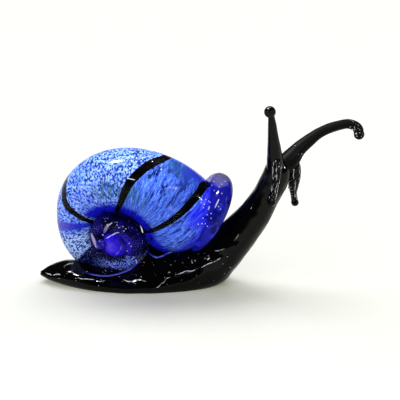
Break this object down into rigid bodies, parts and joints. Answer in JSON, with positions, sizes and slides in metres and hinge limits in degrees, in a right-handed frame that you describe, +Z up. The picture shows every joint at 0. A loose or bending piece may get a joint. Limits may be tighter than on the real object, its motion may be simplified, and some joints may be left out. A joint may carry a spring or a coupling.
{
  "type": "glass snail figurine",
  "caption": "Small fused glass snail ornament with a coiled foil-glass shell on a black glass body, raised neck, eye stalks and drooping feelers.",
  "frame": {"origin": "on the flat underside of the foot, below the middle of the foot", "axes": "+X from the tail towards the head and the curved eye stalk, +Y away from the side that shows the spire, +Z up"},
  "size_m": [0.0709, 0.0189, 0.0408],
  "materials": {
    "black_glass": "fire polished, opaque black",
    "foil_blue_glass": "blue glass over crackled silver foil",
    "clear_glass": "fire polished, clear",
    "cobalt_glass": "fire polished, deep transparent cobalt"
  },
  "bodies": {
    "root": {"snail_body": "black_glass", "near_eye_stalk": "black_glass", "near_eye_bead": "black_glass", "far_eye_stalk": "black_glass", "far_eye_bead": "black_glass", "near_feeler": "black_glass", "far_feeler": "black_glass", "shell_core": "foil_blue_glass", "stripe_front": "black_glass", "stripe_middle": "black_glass", "stripe_rear": "black_glass", "shell_casing": "clear_glass", "shell_spire": "cobalt_glass", "spire_tip": "cobalt_glass", "shell_heart": "cobalt_glass", "shell_lip": "cobalt_glass"}
  },
  "joints": []
}
